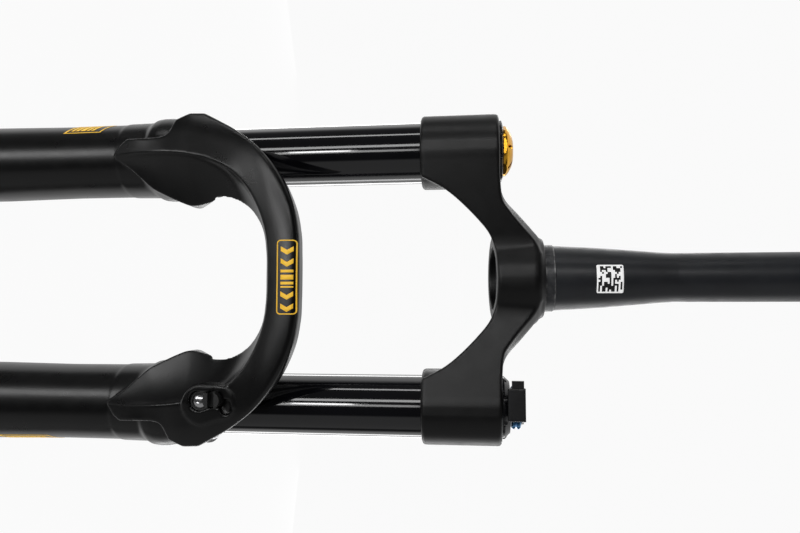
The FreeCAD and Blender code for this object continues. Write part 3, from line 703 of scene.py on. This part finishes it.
# One row for each slot: material name, darkest and lightest tone, roughness range, and the rest
FINISHES = {
    "casting": ("casting_paint", (0.0014, 0.0014, 0.0016), (0.0024, 0.0024, 0.0026), (0.27, 0.32),
                {"grain": 1400, "grain_depth": 0.000006, "patch": 30}),
    "crown": ("crown_anodise", (0.0014, 0.0014, 0.0016), (0.0024, 0.0024, 0.0026), (0.37, 0.43),
              {"grain": 2200, "grain_depth": 0.000008, "patch": 40, "specular": 0.42}),
    "stanchion": ("stanchion_coat", (0.003, 0.003, 0.004), (0.005, 0.005, 0.007), (0.07, 0.11),
                  {"coat": 0.6, "grain": 500, "grain_depth": 0.000003, "stretch": (1, 1, 8)}),
    "top_cap": ("cap_anodise", (0.006, 0.006, 0.008), (0.010, 0.010, 0.012), (0.18, 0.26), {"grain": 1500}),
    "black_anodised": ("black_anodise", (0.010, 0.010, 0.011), (0.014, 0.014, 0.015), (0.30, 0.38),
                       {"grain": 1800}),
    "gold_anodised": ("gold_anodise", (0.72, 0.34, 0.02), (0.95, 0.52, 0.05), (0.16, 0.24),
                      {"metallic": 1.0, "grain": 1600}),
    "blue_anodised": ("blue_anodise", (0.03, 0.12, 0.26), (0.10, 0.30, 0.48), (0.20, 0.28),
                      {"metallic": 1.0, "grain": 1600}),
    "bare_alloy": ("machined_alloy", (0.55, 0.55, 0.57), (0.68, 0.68, 0.70), (0.28, 0.38),
                   {"metallic": 1.0, "grain": 900, "stretch": (1, 1, 12)}),
    "steel": ("ground_steel", (0.50, 0.50, 0.51), (0.66, 0.66, 0.67), (0.18, 0.28),
              {"metallic": 1.0, "grain": 1300}),
    "black_steel": ("black_oxide", (0.012, 0.012, 0.013), (0.02, 0.02, 0.022), (0.34, 0.46),
                    {"metallic": 0.3}),
    "brass": ("machined_brass", (0.55, 0.38, 0.13), (0.68, 0.50, 0.20), (0.25, 0.35), {"metallic": 1.0}),
    "rubber": ("moulded_rubber", (0.010, 0.010, 0.010), (0.016, 0.016, 0.015), (0.55, 0.68),
               {"grain": 1800}),
    "foam": ("open_foam", (0.20, 0.20, 0.18), (0.34, 0.33, 0.30), (0.85, 0.95),
             {"grain": 700, "grain_depth": 0.0004}),
    "bushing": ("bushing_lining", (0.16, 0.13, 0.09), (0.26, 0.21, 0.16), (0.45, 0.6), {}),
    # Painted light: the gold print also glows by emission, though it is no lamp
    "gold_print": ("gold_print", (0.86, 0.48, 0.03), (0.95, 0.58, 0.05), (0.35, 0.45),
                   {"grain": 1500, "painted_glow": 0.42}),
    # Painted light: the white label also glows by emission, though it is no lamp
    "label_white": ("label_white", (0.86, 0.86, 0.86), (0.92, 0.92, 0.92), (0.45, 0.55),
                    {"grain": 1500, "painted_glow": 0.55}),
    "label_black": ("label_black", (0.01, 0.01, 0.01), (0.016, 0.016, 0.016), (0.45, 0.55),
                    {"grain": 1500}),
    "guide_plastic": ("guide_plastic", (0.014, 0.014, 0.014), (0.02, 0.02, 0.02), (0.42, 0.55),
                      {"grain": 2500}),
}
MATERIALS = {}


def build_materials():
    for slot, (name, dark, light, rough, options) in FINISHES.items():
        MATERIALS[slot] = finish_material(name, dark, light, rough, **options)
    MATERIALS["steerer"] = steerer_material()


def paint_cad_nodes():
    slots = {row["node"]: row["material_slot"] for row in frame["record"]["subparts"]}
    for node, obj in frame["nodes"].items():
        material = MATERIALS[slots[node]]
        if not obj.material_slots:
            obj.data.materials.append(None)
        for slot in obj.material_slots:
            slot.link = "OBJECT"
            slot.material = material


def paint(obj, slot_name):
    obj.data.materials.clear()
    obj.data.materials.append(MATERIALS[slot_name])


# ---------------------------------------------------------------- camera, floor and light

def make_camera():
    data = bpy.data.cameras.new("camera")
    data.sensor_width = 36
    data.lens = 28.85
    data.clip_start = 0.01
    data.clip_end = 100
    camera = bpy.data.objects.new("camera", data)
    bpy.context.scene.collection.objects.link(camera)
    right = Vector((0.0007, 0.1132, 0.9936)).normalized()
    back = Vector((0.0659, -0.9914, 0.1129))
    back = (back - right * back.dot(right)).normalized()
    up = back.cross(right)
    place = Matrix((right, up, back)).transposed().to_4x4()
    place.translation = Vector((18.16, -390.4, -41.2)) * MM
    camera.matrix_world = place
    bpy.context.scene.camera = camera


def see_through_from_below(material):
    """Lets the object be seen from under the floor."""
    tree = material.node_tree
    output = next(node for node in tree.nodes if node.type == "OUTPUT_MATERIAL")
    top = output.inputs["Surface"].links[0].from_socket
    side = tree.nodes.new("ShaderNodeNewGeometry")
    clear = tree.nodes.new("ShaderNodeBsdfTransparent")
    mix = tree.nodes.new("ShaderNodeMixShader")
    tree.links.new(side.outputs["Backfacing"], mix.inputs[0])
    tree.links.new(top, mix.inputs[1])
    tree.links.new(clear.outputs[0], mix.inputs[2])
    tree.links.new(mix.outputs[0], output.inputs["Surface"])


def make_floor():
    g = Graph("floor_paint")
    tone = g.mix(g.span(g.noise(3.0), 0, 1), rgba(0.020, 0.020, 0.020), rgba(0.024, 0.024, 0.024))
    g.shade(Base_Color=tone, Roughness=0.9, Specular_IOR_Level=0.0)
    g.shade(Emission_Color=rgba(1, 1, 1), Emission_Strength=0.945)
    mesh = bpy.data.meshes.new("floor")
    half = 30.0
    corners = [(-half, -half, 0), (half, -half, 0), (half, half, 0), (-half, half, 0)]
    mesh.from_pydata(corners, [], [(0, 1, 2, 3)])
    mesh.materials.append(g.material)
    see_through_from_below(g.material)
    floor = bpy.data.objects.new("floor", mesh)
    floor.location.z = cad_box[0][2] - 0.0005
    floor.visible_glossy = False
    floor.visible_diffuse = False
    floor.visible_shadow = False
    bpy.context.scene.collection.objects.link(floor)


def area_light(name, place, target, size, level):
    """A rectangular light of the given brightness, unseen by the camera."""
    data = bpy.data.lights.new(name, "AREA")
    data.shape = "RECTANGLE"
    data.size, data.size_y = size
    data.energy = level * math.pi * size[0] * size[1]
    light = bpy.data.objects.new(name, data)
    light.location = place
    direction = Vector(target) - Vector(place)
    light.rotation_euler = direction.to_track_quat("-Z", "Y").to_euler()
    light.visible_camera = False
    bpy.context.scene.collection.objects.link(light)


# Brightness of the studio's walls round the object: degrees from the front, brightness
STUDIO_WALLS = [
    (-180, 0.55), (-150, 0.85), (-113, 0.90), (-101, 0.22), (-93, 0.09), (-70, 0.07), (-26, 0.05), (6, 0.03),
    (30, 0.03), (36, 0.30), (86, 0.30), (90, 0.05), (98, 0.06), (108, 0.80), (150, 0.85), (180, 0.55),
]
# Upright strip lights: degrees from the front, width in degrees, bottom and top in metres, brightness
STRIPS = [
    (-66, 5, -0.85, 0.65, 5.0), (-22, 8, -0.80, 0.65, 5.0), (-4, 7, -0.8, -0.2, 3.6),
    (128, 10, -1.05, 0.65, 3.0), (158, 8, -1.05, 0.65, 4.0), (-150, 10, -1.05, 0.65, 3.5),
]
strip_distance = 1.6
# Soft panels: name, place, what it faces, size in metres, brightness
PANELS = [
    ("leg_light", (-0.24, -0.54, -0.74), (0, 0, -0.74), (0.17, 0.52), 4.6),
    ("arch_light", (-0.20, -1.55, -0.49), (-0.03, -0.05, -0.145), (0.14, 0.18), 17.0),
    ("low_panel", (0, 0.1, -1.9), (0, 0, -0.2), (0.8, 0.8), 1.2),
]


def make_world():
    world = bpy.data.worlds.new("studio")
    world.use_nodes = True
    tree = world.node_tree
    background = tree.nodes["Background"]
    place = tree.nodes.new("ShaderNodeTexCoord")
    parts = tree.nodes.new("ShaderNodeSeparateXYZ")
    tree.links.new(place.outputs["Generated"], parts.inputs[0])
    forward = tree.nodes.new("ShaderNodeMath")
    forward.operation = "MULTIPLY"
    forward.inputs[1].default_value = -1
    tree.links.new(parts.outputs["Y"], forward.inputs[0])
    angle = tree.nodes.new("ShaderNodeMath")
    angle.operation = "ARCTAN2"
    tree.links.new(parts.outputs["X"], angle.inputs[0])
    tree.links.new(forward.outputs[0], angle.inputs[1])
    turn = tree.nodes.new("ShaderNodeMapRange")
    turn.inputs["From Min"].default_value = -math.pi
    turn.inputs["From Max"].default_value = math.pi
    tree.links.new(angle.outputs[0], turn.inputs["Value"])
    ramp = tree.nodes.new("ShaderNodeValToRGB")
    tree.links.new(turn.outputs[0], ramp.inputs[0])
    stops = ramp.color_ramp.elements
    for degrees, level in STUDIO_WALLS:
        position = (degrees + 180) / 360
        if position == 0.0:
            stop = stops[0]
        elif position == 1.0:
            stop = stops[len(stops) - 1]
        else:
            stop = stops.new(position)
        stop.color = (level, level, level, 1)
    seen = tree.nodes.new("ShaderNodeLightPath")
    mix = tree.nodes.new("ShaderNodeMix")
    mix.data_type = "RGBA"
    mix.inputs[7].default_value = (0.955, 0.955, 0.955, 1)
    tree.links.new(seen.outputs["Is Camera Ray"], mix.inputs[0])
    tree.links.new(ramp.outputs[0], mix.inputs[6])
    tree.links.new(mix.outputs[2], background.inputs[0])
    bpy.context.scene.world = world


def make_lights():
    for degrees, width, bottom, top, level in STRIPS:
        angle = math.radians(degrees)
        centre_z = (bottom + top) / 2
        place = (strip_distance * math.sin(angle), -strip_distance * math.cos(angle), centre_z)
        size = (2 * strip_distance * math.tan(math.radians(width / 2)), top - bottom)
        area_light("strip", place, (0, 0, centre_z), size, level)
    for name, place, target, size, level in PANELS:
        area_light(name, place, target, size, level)


# ---------------------------------------------------------------- build

build_materials()
make_camera()
make_floor()
make_world()
make_lights()
bpy.context.scene.view_settings.view_transform = "Standard"
paint_cad_nodes()
lower_casting = casting()
paint(lower_casting, "casting")
paint(crown(), "crown")
arch_badge(lower_casting)
leg_mark(lower_casting, -1, -291, -262, 40, 72)
leg_mark(lower_casting, 1, -331, -293, 58, 84)
steerer_label(frame["nodes"]["steerer_tube"])
